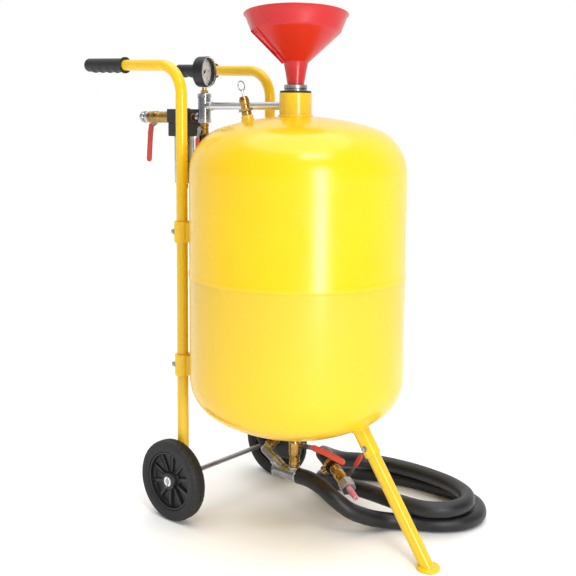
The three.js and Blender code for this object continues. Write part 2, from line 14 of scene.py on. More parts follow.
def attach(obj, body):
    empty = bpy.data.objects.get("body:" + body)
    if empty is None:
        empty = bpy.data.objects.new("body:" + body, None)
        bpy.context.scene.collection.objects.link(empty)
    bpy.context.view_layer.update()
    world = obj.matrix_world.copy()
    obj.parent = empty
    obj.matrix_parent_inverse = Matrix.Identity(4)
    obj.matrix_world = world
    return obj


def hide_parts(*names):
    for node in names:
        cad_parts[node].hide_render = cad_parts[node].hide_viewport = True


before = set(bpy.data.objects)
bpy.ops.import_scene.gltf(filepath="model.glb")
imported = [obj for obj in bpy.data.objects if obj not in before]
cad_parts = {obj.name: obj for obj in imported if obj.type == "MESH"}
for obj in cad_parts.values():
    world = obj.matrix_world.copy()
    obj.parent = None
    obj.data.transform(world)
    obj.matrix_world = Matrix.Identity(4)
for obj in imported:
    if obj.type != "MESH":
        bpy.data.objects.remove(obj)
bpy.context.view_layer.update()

# ---------------------------------------------------------------- driving dimensions, mm
MM = 0.001
TANK_Y = -70.2  # the pot's axis in the frame

TANK_R = 207
WALL = 3
LOWER_TANGENT_Z = 299
UPPER_TANGENT_Z = 688
SEAM_Z = 497
TOP_KNUCKLE, TOP_CROWN = 92, 493
BOTTOM_KNUCKLE, BOTTOM_CROWN = 85, 322

NECK_Y = 8
PIPE_Z = 816
TEE_Y = 255
FILTER_Y = 316
INLET_Z = 793
TEE_Z = 92.6
METERING_Y = 4

UPRIGHT_X, UPRIGHT_Y = 127, 187
TUBE_R = 11
BEND_R, BEND_Z = 58, 835
HANDLE_RISE = math.radians(1.8)
GRIP_START_Y, GRIP_LENGTH = 351, 119

AXLE_Z = 80
WHEEL_R, WHEEL_X = 80, 155
LEG_FOOT = Vector((0, -302.4, 9.3))
LEG_AXIS = Vector((0, 0.5679, 0.8231))
LEG_R = 12.5
SOCKET_R = 15.5
SOCKET_LOW, SOCKET_HIGH = 205, 275  # along the leg
FOOT_Y = -309

HOSE_R = 15.5
BYPASS_R = 10.5
X, Y, Z = Vector((1, 0, 0)), Vector((0, 1, 0)), Vector((0, 0, 1))

VIEW = Vector((0.7646, 0.6445, 0))  # the level direction in which the camera looks
CAMERA_PLACE = (-1350.3, -1137.1, 791.4)
CAMERA_PITCH = 0.1095  # radians below level
CAMERA_ROLL = -0.0081
FLOOR_REACH = 30  # metres from the middle
GAUGE_TURN = 0.2793  # radians that the dial is turned from straight ahead
SHARP_ANGLE = math.radians(32)

# Blast hose, from the mixing tee through two stacked turns on the floor up to the nozzle valve.
BLAST_ROUTE = [
    (0, -8.3, 92.6), (0, -34, 92.6), (0, -66, 85), (0, -96, 71), (13, -119, 52), (43, -139, 33),
    (82, -160, 18.5), (114, -198, 15.7), (145, -246, 15.7), (183, -275, 15.7), (228, -279, 15.7),
    (267, -255, 15.7), (290, -208, 15.7), (294, -140, 15.7), (284, -61, 15.7), (266, 0, 15.7),
    (234, 48, 16), (192, 65, 20), (153, 53, 29), (124, 18, 41), (109, -40, 50), (106, -107, 52),
    (110, -176, 49), (122, -232, 48), (152, -263, 48), (190, -272, 48), (226, -255, 48),
    (255, -213, 47), (271, -145, 46.5), (272, -75, 46.5), (259, -18, 48), (232, 15, 53.5),
    (194, 31, 63), (164, 36, 76), (134, 31, 91), (107, 16, 103), (80.52, -13.86, 108.7),
    (65.8, -43.3, 100.2),
]
BYPASS_ROUTE = [
    (37.4, 81, 141.3), (50, 80.5, 146.4), (64, 73, 147), (71, 56, 133), (67, 46, 109), (55, 56, 90),
    (44, 84, 89), (38, 110, 111), (33, 129, 143), (22, 160, 186), (7, 208, 236), (0, 238, 320),
    (0, 238, 690), (0, 246, 722), (0, 255, 744), (0, 255, 756.5),
]


def at(point):
    """A point of the pot's own frame, in the row frame in metres."""
    x, y, z = point
    return Vector((x, y + TANK_Y, z)) * MM


def place(origin=(0, 0, 0), axis=Z, side=None):
    """A frame with its Z along axis and its X as near side as it can be."""
    z = Vector(axis).normalized()
    hint = Vector(side) if side else (Y if abs(z.x) > 0.9 else X)
    y = z.cross(hint).normalized()
    matrix = Matrix((y.cross(z), y, z)).transposed().to_4x4()
    matrix.translation = Vector(origin)
    return matrix


def spun(where, angle):
    """A frame turned about its own Z."""
    return where @ Matrix.Rotation(angle, 4, "Z")


def around(count):
    """Angles of evenly spaced points on a circle."""
    return [2 * math.pi * k / count for k in range(count)]


def leaning(tilt, azimuth):
    """A direction that leans away from straight up."""
    return Vector((math.sin(tilt) * math.cos(azimuth), math.sin(tilt) * math.sin(azimuth), math.cos(tilt)))


# ---------------------------------------------------------------- camera and light
def camera():
    forward = VIEW * math.cos(CAMERA_PITCH) - Z * math.sin(CAMERA_PITCH)
    right = Vector((VIEW.y, -VIEW.x, 0))
    down = forward.cross(right)
    rolled_right = right * math.cos(CAMERA_ROLL) + down * math.sin(CAMERA_ROLL)
    rolled_down = down * math.cos(CAMERA_ROLL) - right * math.sin(CAMERA_ROLL)
    data = bpy.data.cameras.new("camera")
    data.lens = 57.93
    data.sensor_width = 36
    data.shift_x = -0.0163
    data.shift_y = -0.1167
    ob = bpy.data.objects.new("camera", data)
    matrix = Matrix((rolled_right, -rolled_down, -forward)).transposed().to_4x4()
    matrix.translation = at(CAMERA_PLACE)
    ob.matrix_world = matrix
    bpy.context.collection.objects.link(ob)
    bpy.context.scene.camera = ob


def area_light(name, location, target, size, power):
    data = bpy.data.lights.new(name, "AREA")
    data.shape = "RECTANGLE"
    data.size, data.size_y = size
    data.energy = power
    ob = bpy.data.objects.new(name, data)
    ob.location = location
    ob.rotation_euler = (Vector(target) - Vector(location)).to_track_quat("-Z", "Y").to_euler()
    bpy.context.collection.objects.link(ob)


def backdrop():
    """A white wall behind the object that fades to a dimmer room in front of it."""
    world = bpy.data.worlds.new("studio")
    bpy.context.scene.world = world
    world.use_nodes = True
    nodes, links = world.node_tree.nodes, world.node_tree.links
    background = nodes["Background"]
    background.inputs["Color"].default_value = (1, 1, 1, 1)
    towards_wall = nodes.new("ShaderNodeVectorMath")
    towards_wall.operation = "DOT_PRODUCT"
    towards_wall.inputs[1].default_value = VIEW
    links.new(nodes.new("ShaderNodeTexCoord").outputs["Generated"], towards_wall.inputs[0])
    fade = nodes.new("ShaderNodeMapRange")
    fade.inputs["From Min"].default_value = -0.1
    fade.inputs["From Max"].default_value = 0.5
    fade.inputs["To Min"].default_value = 0.3
    fade.inputs["To Max"].default_value = 1.0
    links.new(towards_wall.outputs["Value"], fade.inputs["Value"])
    links.new(fade.outputs["Result"], background.inputs["Strength"])


def lamps():
    area_light("key", (-1.2, -2.35, 0.9), (0, 0, 0.5), (0.5, 1.5), 34)
    area_light("high", (-0.8, -1.5, 2.5), (0, 0, 0.7), (1.0, 0.35), 14)
    overhead = bpy.data.lights.new("overhead", "SUN")
    overhead.energy = 1.9
    overhead.angle = 1.2
    bpy.context.collection.objects.link(bpy.data.objects.new("overhead", overhead))


def paper_floor():
    mesh = bpy.data.meshes.new("floor")
    corners = [(-1, -1), (1, -1), (1, 1), (-1, 1)]
    mesh.from_pydata([(x * FLOOR_REACH, y * FLOOR_REACH, 0) for x, y in corners], [], [(0, 1, 2, 3)])
    floor = bpy.data.objects.new("floor", mesh)
    bpy.context.collection.objects.link(floor)
    paper = finish("floor_paper", None, (0.97, 0.97, 0.97), (0.96, 0.96, 0.96), 0.9, grain=0.0001)
    mesh.materials.append(paper)


def studio():
    bpy.context.scene.view_settings.view_transform = "Standard"
    backdrop()
    lamps()
    paper_floor()


# ---------------------------------------------------------------- materials
def noise(material, where, scale, detail):
    """The value of a noise texture over the piece's own space."""
    texture = material.node_tree.nodes.new("ShaderNodeTexNoise")
    texture.inputs["Scale"].default_value = scale
    texture.inputs["Detail"].default_value = detail
    material.node_tree.links.new(where, texture.inputs["Vector"])
    return texture.outputs["Fac"]


def finish(name, slot, colour, dark, roughness, metallic=0.0, grain=0.0001, grain_size=900, mottle_size=12,
           spread=0.08, coat=0.0, wear=None, transmission=0.0, ior=1.5):
    """A procedural surface: two-tone mottling, uneven roughness, fine bump and paler edges where worn."""
    material = bpy.data.materials.new(name)
    material.use_nodes = True
    if slot:
        material["slot"] = slot
    nodes, links = material.node_tree.nodes, material.node_tree.links
    shader = nodes["Principled BSDF"]
    shader.inputs["Metallic"].default_value = metallic
    shader.inputs["Coat Weight"].default_value = coat
    shader.inputs["Coat Roughness"].default_value = 0.08
    shader.inputs["Transmission Weight"].default_value = transmission
    shader.inputs["IOR"].default_value = ior
    where = nodes.new("ShaderNodeTexCoord").outputs["Object"]

    ramp = nodes.new("ShaderNodeValToRGB")
    ramp.color_ramp.elements[0].position = 0.35
    ramp.color_ramp.elements[1].position = 0.65
    ramp.color_ramp.elements[0].color = (*dark, 1)
    ramp.color_ramp.elements[1].color = (*colour, 1)
    links.new(noise(material, where, mottle_size, 6), ramp.inputs["Fac"])
    tint = ramp.outputs["Color"]

    if wear:
        edge = nodes.new("ShaderNodeNewGeometry")
        worn = nodes.new("ShaderNodeValToRGB")
        worn.color_ramp.elements[0].position = 0.53
        worn.color_ramp.elements[1].position = 0.62
        links.new(edge.outputs["Pointiness"], worn.inputs["Fac"])
        mix = nodes.new("ShaderNodeMix")
        mix.data_type = "RGBA"
        links.new(worn.outputs["Color"], mix.inputs["Factor"])
        links.new(tint, mix.inputs["A"])
        mix.inputs["B"].default_value = (*wear, 1)
        tint = mix.outputs["Result"]
    links.new(tint, shader.inputs["Base Color"])

    rough = nodes.new("ShaderNodeMapRange")
    rough.inputs["To Min"].default_value = max(roughness - spread, 0.02)
    rough.inputs["To Max"].default_value = roughness + spread
    links.new(noise(material, where, mottle_size * 5, 4), rough.inputs["Value"])
    links.new(rough.outputs["Result"], shader.inputs["Roughness"])

    bump = nodes.new("ShaderNodeBump")
    bump.inputs["Strength"].default_value = 0.6
    bump.inputs["Distance"].default_value = grain
    links.new(noise(material, where, grain_size, 3), bump.inputs["Height"])
    links.new(bump.outputs["Normal"], shader.inputs["Normal"])
    return material


YELLOW = finish("yellow_paint", "yellow_paint", (0.90, 0.575, 0.006), (0.88, 0.555, 0.005), 0.25,
                grain=0.00004, grain_size=420, mottle_size=7, coat=0.12, wear=(0.75, 0.50, 0.02))
RED = finish("red_funnel", "red_plastic", (0.56, 0.006, 0.008), (0.50, 0.004, 0.006), 0.3, grain=0.0001,
             grain_size=260, mottle_size=9, coat=0.12, wear=(0.66, 0.03, 0.03))
SLEEVE = finish("red_sleeve", "red_plastic", (0.66, 0.045, 0.02), (0.56, 0.03, 0.015), 0.4, grain=0.00015,
                grain_size=700, wear=(0.85, 0.16, 0.10))
BLACK = finish("black_plastic", "black_plastic", (0.008, 0.008, 0.009), (0.005, 0.005, 0.006), 0.45,
               grain=0.00012, wear=(0.03, 0.03, 0.033))
RUBBER = finish("black_rubber", "black_rubber", (0.008, 0.008, 0.010), (0.005, 0.005, 0.006), 0.5,
                grain=0.0002, grain_size=1200, wear=(0.02, 0.02, 0.022))
HOSE = finish("hose_rubber", "black_rubber", (0.009, 0.009, 0.011), (0.006, 0.006, 0.007), 0.42,
              grain=0.00025, grain_size=1500, mottle_size=30, spread=0.12)
TYRE = finish("tyre_rubber", "tyre_rubber", (0.009, 0.009, 0.010), (0.006, 0.006, 0.006), 0.62,
              grain=0.0003, grain_size=800, wear=(0.022, 0.022, 0.022))
BRASS = finish("brass", "brass", (0.50, 0.31, 0.09), (0.30, 0.17, 0.045), 0.26, 1.0, mottle_size=45,
               wear=(0.85, 0.66, 0.32))
DARK_BRASS = finish("dark_brass", "brass", (0.30, 0.17, 0.07), (0.16, 0.08, 0.04), 0.42, 1.0,
                    mottle_size=60, wear=(0.6, 0.42, 0.2))
ZINC = finish("zinc_plate", "zinc_plate", (0.40, 0.41, 0.44), (0.26, 0.27, 0.29), 0.3, 1.0, mottle_size=50,
              wear=(0.8, 0.8, 0.82))
STEEL = finish("steel_root", "zinc_plate", (0.26, 0.27, 0.30), (0.16, 0.16, 0.18), 0.35, 1.0,
               mottle_size=40, wear=(0.7, 0.7, 0.72))
CHROME = finish("chrome", "chrome", (0.42, 0.43, 0.45), (0.28, 0.29, 0.31), 0.14, 1.0, 0.00004,
                mottle_size=30, spread=0.05, wear=(0.9, 0.9, 0.9))
WHITE = finish("white_card", "white_card", (0.86, 0.86, 0.85), (0.80, 0.80, 0.79), 0.6, grain=0.00005)
INK = finish("dial_ink", "black_plastic", (0.02, 0.02, 0.02), (0.014, 0.014, 0.014), 0.6, grain=0.00003)
TAPE = finish("thread_tape", "white_card", (0.85, 0.85, 0.83), (0.7, 0.7, 0.68), 0.7, grain=0.0003,
              grain_size=2500)
CLEAR = finish("clear_plastic", "clear_plastic", (0.97, 0.98, 0.99), (0.94, 0.96, 0.98), 0.05, grain=0.00001,
               spread=0.03, transmission=1.0, ior=1.15)
PINK = finish("pink_ceramic", "pink_ceramic", (0.72, 0.22, 0.32), (0.62, 0.15, 0.24), 0.45, grain=0.00012,
              wear=(0.88, 0.6, 0.62))


# ---------------------------------------------------------------- mesh building
class Shape:
    """Collects closed shells, in millimetres about the pot's axis, and makes one piece of them."""

    def __init__(self):
        self.verts = []
        self.faces = []

    def add(self, points, faces, where=None):
        base = len(self.verts)
        matrix = where or Matrix.Identity(4)
        self.verts += [matrix @ Vector(p) for p in points]
        self.faces += [[base + i for i in face] for face in faces]
        return self

    def turned(self, profile, where=None, segments=48, shape=None):
        """Revolves (radius, height) points about Z; shape(angle, radius, height) may move the radius."""
        closed = profile[0] == profile[-1]
        rows = profile[:-1] if closed else profile
        points, rings = [], []
        for radius, height in rows:
            count = segments if radius > 1e-6 else 1
            rings.append((len(points), count))
            for k in range(count):
                angle = 2 * math.pi * k / segments
                r = shape(angle, radius, height) if shape and count > 1 else radius
                points.append((r * math.cos(angle), r * math.sin(angle), height))
        faces = []
        last = len(rings) if closed else len(rings) - 1
        for i in range(last):
            (a, na), (b, nb) = rings[i], rings[(i + 1) % len(rings)]
            for k in range(segments):
                quad = [a + k % na, a + (k + 1) % na, b + (k + 1) % nb, b + k % nb]
                face = [v for j, v in enumerate(quad) if v != quad[j - 1]]
                if len(face) > 2:
                    faces.append(face)
        return self.add(points, faces, where)

    def rod(self, radius, low, high, where=None, segments=32):
        return self.turned([(0, low), (radius, low), (radius, high), (0, high)], where, segments)

    def ring(self, radius, wire, where=None, segments=48, height=0):
        section = [(radius + wire * math.cos(a), height + wire * math.sin(a)) for a in around(12)]
        return self.turned([*section, section[0]], where, segments)

    def slab(self, outline, low, high, where=None):
        """Extrudes a flat outline from one height to another."""
        n = len(outline)
        points = [(x, y, low) for x, y in outline] + [(x, y, high) for x, y in outline]
        faces = [list(range(n))[::-1], list(range(n, 2 * n))]
        faces += [[i, (i + 1) % n, n + (i + 1) % n, n + i] for i in range(n)]
        return self.add(points, faces, where)

    def box(self, xs, ys, zs, where=None):
        (x0, x1), (y0, y1) = xs, ys
        return self.slab([(x0, y0), (x1, y0), (x1, y1), (x0, y1)], *zs, where)

    def tube(self, path, radius, sides=24, bore=None, radius_at=None):
        """Sweeps a round section along a path, without twist; a bore leaves its ends open."""
        path = [Vector(p) for p in path]
        last = len(path) - 1
        tangents = [(path[min(i + 1, last)] - path[max(i - 1, 0)]).normalized() for i in range(last + 1)]
        side = tangents[0].orthogonal().normalized()
        squares = []
        for tangent in tangents:
            side = (side - tangent * side.dot(tangent)).normalized()
            squares.append((side, tangent.cross(side)))
        outer = [radius_at(i) if radius_at else radius for i in range(last + 1)]
        layers = [outer] if bore is None else [outer, [bore] * (last + 1)]
        points = []
        for layer in layers:
            for p, (s, u), size in zip(path, squares, layer):
                points += [p + (s * math.cos(a) + u * math.sin(a)) * size for a in around(sides)]
        wall = (last + 1) * sides
        end = last * sides
        faces = []
        for start in range(0, len(points), wall):
            for i in range(last):
                for k in range(sides):
                    a, b = start + i * sides + k, start + i * sides + (k + 1) % sides
                    faces.append([a, b, b + sides, a + sides])
        if bore is None:
            faces += [list(range(sides))[::-1], list(range(end, end + sides))]
        else:
            for k in range(sides):
                n = (k + 1) % sides
                faces.append([k, n, wall + n, wall + k])
                faces.append([end + k, end + n, wall + end + n, wall + end + k])
        return self.add(points, faces)

    def mesh(self, name):
        """The shells as one mesh in the row frame, with every face turned outwards."""
        mesh = bpy.data.meshes.new(name)
        mesh.from_pydata([at(v) for v in self.verts], [], self.faces)
        work = bmesh.new()
        work.from_mesh(mesh)
        bmesh.ops.recalc_face_normals(work, faces=work.faces)
        work.to_mesh(mesh)
        work.free()
        return mesh

    def make(self, name, material, body="chassis", replaces=(), bevel=0.0, cut=None):
        ob = bpy.data.objects.new(name, self.mesh(name))
        ob.data.materials.append(material)
        bpy.context.collection.objects.link(ob)
        if cut:
            subtract(ob, cut)
        ob.data.shade_smooth()
        ob.data.set_sharp_from_angle(angle=SHARP_ANGLE)
        if bevel:
            rounding = ob.modifiers.new("edges", "BEVEL")
            rounding.width = bevel * MM
            rounding.segments = 2
            rounding.limit_method = "ANGLE"
            rounding.angle_limit = SHARP_ANGLE
            rounding.harden_normals = True
        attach(ob, body)
        if replaces:
            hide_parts(*replaces)


def subtract(ob, cutter):
    """Cuts a Shape out of an object's mesh."""
    tool = bpy.data.objects.new("cutter", cutter.mesh("cutter"))
    bpy.context.collection.objects.link(tool)
    boolean = ob.modifiers.new("cut", "BOOLEAN")
    boolean.operation = "DIFFERENCE"
    boolean.solver = "EXACT"
    boolean.object = tool
    graph = bpy.context.evaluated_depsgraph_get()
    result = bpy.data.meshes.new_from_object(ob.evaluated_get(graph))
    ob.modifiers.clear()
    ob.data = result
    bpy.data.objects.remove(tool)


def smooth_path(points, steps=8):
    """A smooth curve through points, with tangents weighted by the distances between them."""
    points = [Vector(p) for p in points]
    gaps = [(b - a).length for a, b in zip(points, points[1:])]
    slopes = [(b - a) / gap for a, b, gap in zip(points, points[1:], gaps)]
    tangents = [slopes[0]]
    for before, after, s0, s1 in zip(gaps, gaps[1:], slopes, slopes[1:]):
        tangents.append((s0 * after + s1 * before) / (before + after))
    tangents.append(slopes[-1])
    path = []
    for i, gap in enumerate(gaps):
        for k in range(steps):
            t = k / steps
            rise = t * t * (3 - 2 * t)
            path.append(points[i] * (1 - rise) + points[i + 1] * rise
                        + tangents[i] * gap * t * (1 - t) ** 2 - tangents[i + 1] * gap * t * t * (1 - t))
    return [*path, points[-1]]


def stroke(points, width, round_steps=8):
    """Outline of a flat bar along (x, y) points, with round ends."""
    points = [Vector((*p, 0)) for p in points]
    half = width / 2
    left, right = [], []
    for i, p in enumerate(points):
        before = (p - points[i - 1]).normalized() if i else None
        after = (points[i + 1] - p).normalized() if i + 1 < len(points) else None
        run = ((before or after) + (after or before)).normalized()
        reach = half / max(run.dot(before or after), 0.5)
        normal = Vector((-run.y, run.x, 0))
        left.append(p + normal * reach)
        right.append(p - normal * reach)

    def cap(centre, start):
        turns = [Matrix.Rotation(-math.pi * k / round_steps, 3, "Z") for k in range(1, round_steps)]
        return [centre + turn @ (start - centre) for turn in turns]

    outline = [*left, *cap(points[-1], left[-1]), *right[::-1], *cap(points[0], right[0])]
    return [(p.x, p.y) for p in outline]


def hexagon(across):
    """Corners of a hexagon with that width across its flats."""
    reach = across / math.sqrt(3)
    return [(reach * math.cos(a), reach * math.sin(a)) for a in around(6)]


def bolt(shape, where, across, head, washer, length=0):
    """A hexagon head with a domed top on a washer; its shank points down."""
    shape.slab(hexagon(across), 1.2, head, where)
    shape.turned([(0, head), (across * 0.42, head), (across * 0.30, head + 0.7), (0, head + 0.9)], where, 24)
    shape.turned([(0, 0), (washer, 0), (washer, 1.2), (0, 1.2)], where, 32)
    if length:
        shape.rod(across * 0.3, -length, 0, where, 16)


# ---------------------------------------------------------------- pot
def crown_drop(radius, knuckle, crown):
    """How far the centre of a head's crown lies from its tangent line."""
    return math.sqrt((crown - knuckle) ** 2 - (radius - knuckle) ** 2)


def head_arc(radius, knuckle, crown, steps=10):
    """(radius, rise) of a dished head, from its pole to its tangent line."""
    inset = radius - knuckle
    drop = crown_drop(radius, knuckle, crown)
    meet = math.asin(inset / (crown - knuckle))
    points = []
    for i in range(steps + 1):
        a = meet * i / steps
        points.append((crown * math.sin(a), crown * math.cos(a) - drop))
    for i in range(1, steps + 1):
        a = meet + (math.pi / 2 - meet) * i / steps
        points.append((inset + knuckle * math.sin(a), knuckle * math.cos(a)))
    return points


def upper_arc(grow):
    arc = head_arc(TANK_R + grow, TOP_KNUCKLE + grow, TOP_CROWN + grow)
    return [(r, UPPER_TANGENT_Z + h) for r, h in arc]


def lower_arc(grow):
    arc = head_arc(TANK_R + grow, BOTTOM_KNUCKLE + grow, BOTTOM_CROWN + grow)
    return [(r, LOWER_TANGENT_Z - h) for r, h in arc]


def surface_z(radius, arc):
    """Height of the pot's head at a distance from its axis."""
    for (r0, z0), (r1, z1) in zip(arc, arc[1:]):
        if r0 <= radius <= r1:
            return z0 + (z1 - z0) * (radius - r0) / max(r1 - r0, 1e-9)
    return arc[-1][1]


def bead(shape, path, radius=2.6):
    """A weld bead: a closed rope with an even ripple."""
    loop = [*path, path[0], path[1]]
    shape.tube(loop, radius, 10, radius_at=lambda i: radius * (1 + 0.10 * math.sin(i * 1.9)))


def circle(radius, where, steps=72):
    return [where @ Vector((radius * math.cos(a), radius * math.sin(a), 0)) for a in around(steps)]


SAFETY_AXIS = leaning(math.radians(11.2), math.radians(132))
CROWN_CENTRE = Z * (UPPER_TANGENT_Z - crown_drop(TANK_R, TOP_KNUCKLE, TOP_CROWN))
SAFETY = place(CROWN_CENTRE + SAFETY_AXIS * TOP_CROWN, SAFETY_AXIS)
NECK = place((0, NECK_Y, 0))


def pot():
    upper = Shape().turned(
        [
            *upper_arc(0), (TANK_R, SEAM_Z + 8), (TANK_R + 0.5, SEAM_Z + 6), (TANK_R + 1.4, SEAM_Z + 3),
            (TANK_R + 1.6, SEAM_Z + 1.5), (TANK_R + 1.6, SEAM_Z - 3.4), (TANK_R + 1.2, SEAM_Z - 4),
            (TANK_R + 0.3, SEAM_Z - 4), (TANK_R + 0.3, SEAM_Z + 0.3), (TANK_R - WALL, SEAM_Z + 0.3),
            *upper_arc(-WALL)[::-1],
        ], segments=128)
    upper.make("pot_upper", YELLOW, replaces=["tank_upper_shell"], cut=Shape().rod(27, 740, 830, NECK, 64))

    boss = Shape().turned([(0, -2), (11.5, -2), (11.5, 9.2), (10.7, 10), (0, 10)], SAFETY)
    boss.make("safety_boss", YELLOW)

    lower = Shape().turned(
        [*lower_arc(0), (TANK_R, SEAM_Z), (TANK_R - WALL, SEAM_Z), *lower_arc(-WALL)[::-1]], segments=128)
    lower.make("pot_lower", YELLOW, replaces=["tank_lower_shell"])


def socket_rim():
    """Where the leg's socket meets the bottom head, found by stepping up along the leg."""
    bottom = lower_arc(0)
    rim = []
    for p in circle(SOCKET_R + 0.1, place(LEG_FOOT + LEG_AXIS * (SOCKET_LOW + 10), LEG_AXIS)):
        while p.z < surface_z(min(p.xy.length, TANK_R - 0.1), bottom) and p.z < LOWER_TANGENT_Z - 9:
            p = p + LEG_AXIS * 0.5
        rim.append(p)
    return rim


def pot_welds():
    welds = Shape()
    dome = upper_arc(0)
    bead(welds, [Vector((p.x, p.y, surface_z(p.xy.length, dome) + 0.6)) for p in circle(31, NECK)])
    bead(welds, circle(11.6, SAFETY), 1.6)
    bead(welds, socket_rim(), 2.2)
    bead(welds, circle(TANK_R + 0.4, place((0, 0, SEAM_Z - 4.6)), 144), 1.1)
    welds.make("pot_welds", YELLOW)


def filler():
    neck = Shape().turned(
        [(27, 796.4), (30.8, 796.4), (30.8, 839), (29.8, 840), (28, 840), (27, 839), (27, 796.4)], NECK, 64)
    for side in (-1, 1):
        neck.box((-27.5, 27.5), sorted((NECK_Y + side * 5.3, NECK_Y + side * 8)), (800, 804))
    neck.make("neck", YELLOW, replaces=["filler_neck"])
    seal = Shape().turned(
        [(18, 840.3), (29, 840.3), (30, 841), (30, 843), (29, 844), (18, 844), (18, 840.3)], NECK, 64)
    seal.make("neck_seal", RUBBER, replaces=["neck_gasket"])
    collar = Shape().turned(
        [(18, 844.3), (21.9, 844.3), (21.9, 846), (21.2, 846.6), (21.2, 848), (21.9, 848.6), (21.9, 854.5),
         (21, 855.5), (19, 855.5), (18, 854.8), (18, 844.3)], NECK, 64)
    collar.make("collar", STEEL, replaces=["filler_collar"])
    plunger = Shape().turned(
        [(0, 770), (7.5, 770), (8, 770.5), (8, 773), (5, 773.4), (5, 804.3), (8, 804.6), (8, 812),
         (20.4, 812), (21, 812.6), (21, 814), (4.5, 818.7), (0, 819)], NECK, 48)
    plunger.make("plunger", RUBBER, "popup", ["popup_plunger"])


def funnel_frame():
    return place((0, NECK_Y, 850), leaning(math.radians(6), math.radians(40)))


def funnel():
    outside = [(14.7, -7), (15, -2), (15.8, 6), (19.4, 27), (23, 46), (23.6, 47.2), (24.8, 48.4), (40, 62.4),
               (62, 83.2), (82, 102.2), (85.2, 105), (86.2, 107.5), (92, 122), (97.2, 135.2), (98.2, 136.2),
               (99.6, 136.4), (100, 136.9), (100, 138), (99.5, 138.4)]
    inside = [(96, 138.4), (95.2, 137.6), (90, 122.8), (84.4, 108.8), (83, 106), (60, 84.3), (38, 63.4),
              (22.6, 49.2), (21.4, 48), (20.8, 46.4), (17.2, 27), (13.6, 6), (12.8, -2), (12.5, -7)]
    where = funnel_frame()
    shape = Shape().turned([*outside, *inside, outside[0]], where, 96)
    for turn in (138, 160):
        web = spun(where, math.radians(turn)) @ place((0, 0, 0), -Y, X)
        shape.slab([(23, 46), (84.4, 104.4), (85.6, 108), (86, 103), (26, 44)], -1.1, 1.1, web)
    ear = spun(where, math.radians(95)) @ place((0, 0, 0), -Y, X)
    shape.slab(stroke([(98, 137.4), (104, 138), (105.4, 135.4)], 2.2), -9, 9, ear)
    shape.make("funnel_shell", RED, "funnel_body", ["funnel"], bevel=0.4)


def safety_valve():
    body = Shape().turned(
        [(0, 10.3), (8.6, 10.3), (9.5, 11), (9.5, 17), (8.4, 18), (8.4, 30), (9.2, 30.8), (9.5, 31.4),
         (9.5, 40), (9, 41), (7.4, 45.4), (6.6, 46), (0, 46)], SAFETY)
    for k in range(6):
        body.ring(9.4, 0.35, SAFETY, height=32.5 + k * 1.3)
    body.slab(hexagon(24), 18, 23, SAFETY)
    body.make("safety_body", BRASS, replaces=["safety_valve_body"], bevel=0.4)
    pin = Shape().turned([(0, 14), (2, 14), (2, 59.4), (1.4, 60), (0, 60)], SAFETY, 24)
    pin.make("safety_pin", ZINC, "safety_puller", ["safety_valve_stem"])
    pull = Shape().ring(9, 1.1, SAFETY @ place((0, 0, 66), Y))
    pull.make("safety_ring", ZINC, "safety_puller", ["safety_pull_ring"])


# ---------------------------------------------------------------- air manifold
def along_y(z):
    return place((0, 0, z), Y)


def manifold():
    tee = place((0, TEE_Y, 0))
    Shape().rod(7.75, 35.5, 232.7, along_y(PIPE_Z), 48).make("pipe", ZINC, replaces=["cross_pipe"])
    body = Shape().turned(
        [(0, 781), (13.4, 781), (14.5, 782), (14.5, 789), (13.2, 790), (13.2, 833), (14.5, 834),
         (14.5, 841), (13.4, 842), (0, 842)], tee)
    body.turned(
        [(0, 233), (9.2, 233), (10, 234), (10, 240), (9.2, 241), (9.2, TEE_Y), (0, TEE_Y)], along_y(PIPE_Z))
    body.turned(
        [(0, TEE_Y), (9.2, TEE_Y), (9.2, 266), (10, 267), (10, 272.4), (9.4, 273), (0, 273)],
        along_y(INLET_Z))
    body.make("tee_body", CHROME, replaces=["air_tee"])
    stem = Shape().slab(hexagon(14.7), 842.3, 848, tee).rod(5, 848, 854.1, tee, 48)
    stem.make("gauge_neck", BRASS, replaces=["gauge_stem"], bevel=0.3)
    wraps = Shape()
    for height, radius in ((842.1, 7.2), (842.9, 6.9)):
        wraps.ring(radius, 0.5, tee, height=height)
    for y in (231.2, 232.2):
        wraps.ring(8.1, 0.5, along_y(PIPE_Z), height=y)
    wraps.make("tape_wraps", TAPE)
    nipple = Shape().turned(
        [(0, 273.3), (8, 273.3), (8, 276), (7.2, 277), (7.2, 286), (8, 287), (8, 289.7), (0, 289.7)],
        along_y(INLET_Z))
    nipple.make("nipple", DARK_BRASS, replaces=["filter_nipple"])


DIAL_NORMAL = Vector((math.sin(GAUGE_TURN), -math.cos(GAUGE_TURN), 0))
GAUGE = place((0, TEE_Y, 886), DIAL_NORMAL, Z)


def tick_size(k):
    """(inner end, half width) of a dial tick: long at the numbers, middling halfway between them."""
    if k % 10 == 0:
        return 21.2, 0.42
    if k % 5 == 0:
        return 22.6, 0.3
    return 23.8, 0.18


